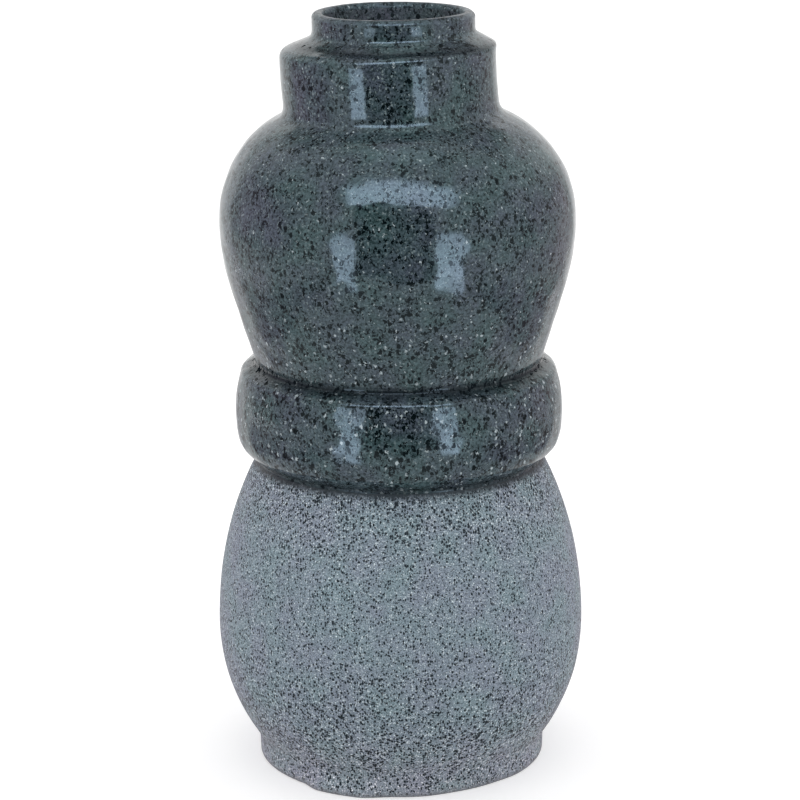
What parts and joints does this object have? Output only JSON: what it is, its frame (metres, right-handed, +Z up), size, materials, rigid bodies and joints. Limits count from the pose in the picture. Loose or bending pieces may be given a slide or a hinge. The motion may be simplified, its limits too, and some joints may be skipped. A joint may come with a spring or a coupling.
{
  "type": "ceramic vase",
  "caption": "Tall stoneware vase with a matte sandy belly, a thick glossy ring at the waist, a speckled glazed bulb and a stepped neck with a round mouth.",
  "frame": {"origin": "on the table, under the middle of the foot ring", "axes": "+Z up along the vase's axis to the mouth, the pictured front faces -Y"},
  "size_m": [0.146, 0.146, 0.3],
  "materials": {
    "dry_clay": "matte",
    "matte_glaze": "matte",
    "gloss_glaze": "polished"
  },
  "bodies": {
    "root": {"foot_ring": "dry_clay", "lower_body": "matte_glaze", "waist_ring": "gloss_glaze", "upper_body": "gloss_glaze", "neck_collar": "gloss_glaze", "mouth_rim": "gloss_glaze"}
  },
  "joints": []
}
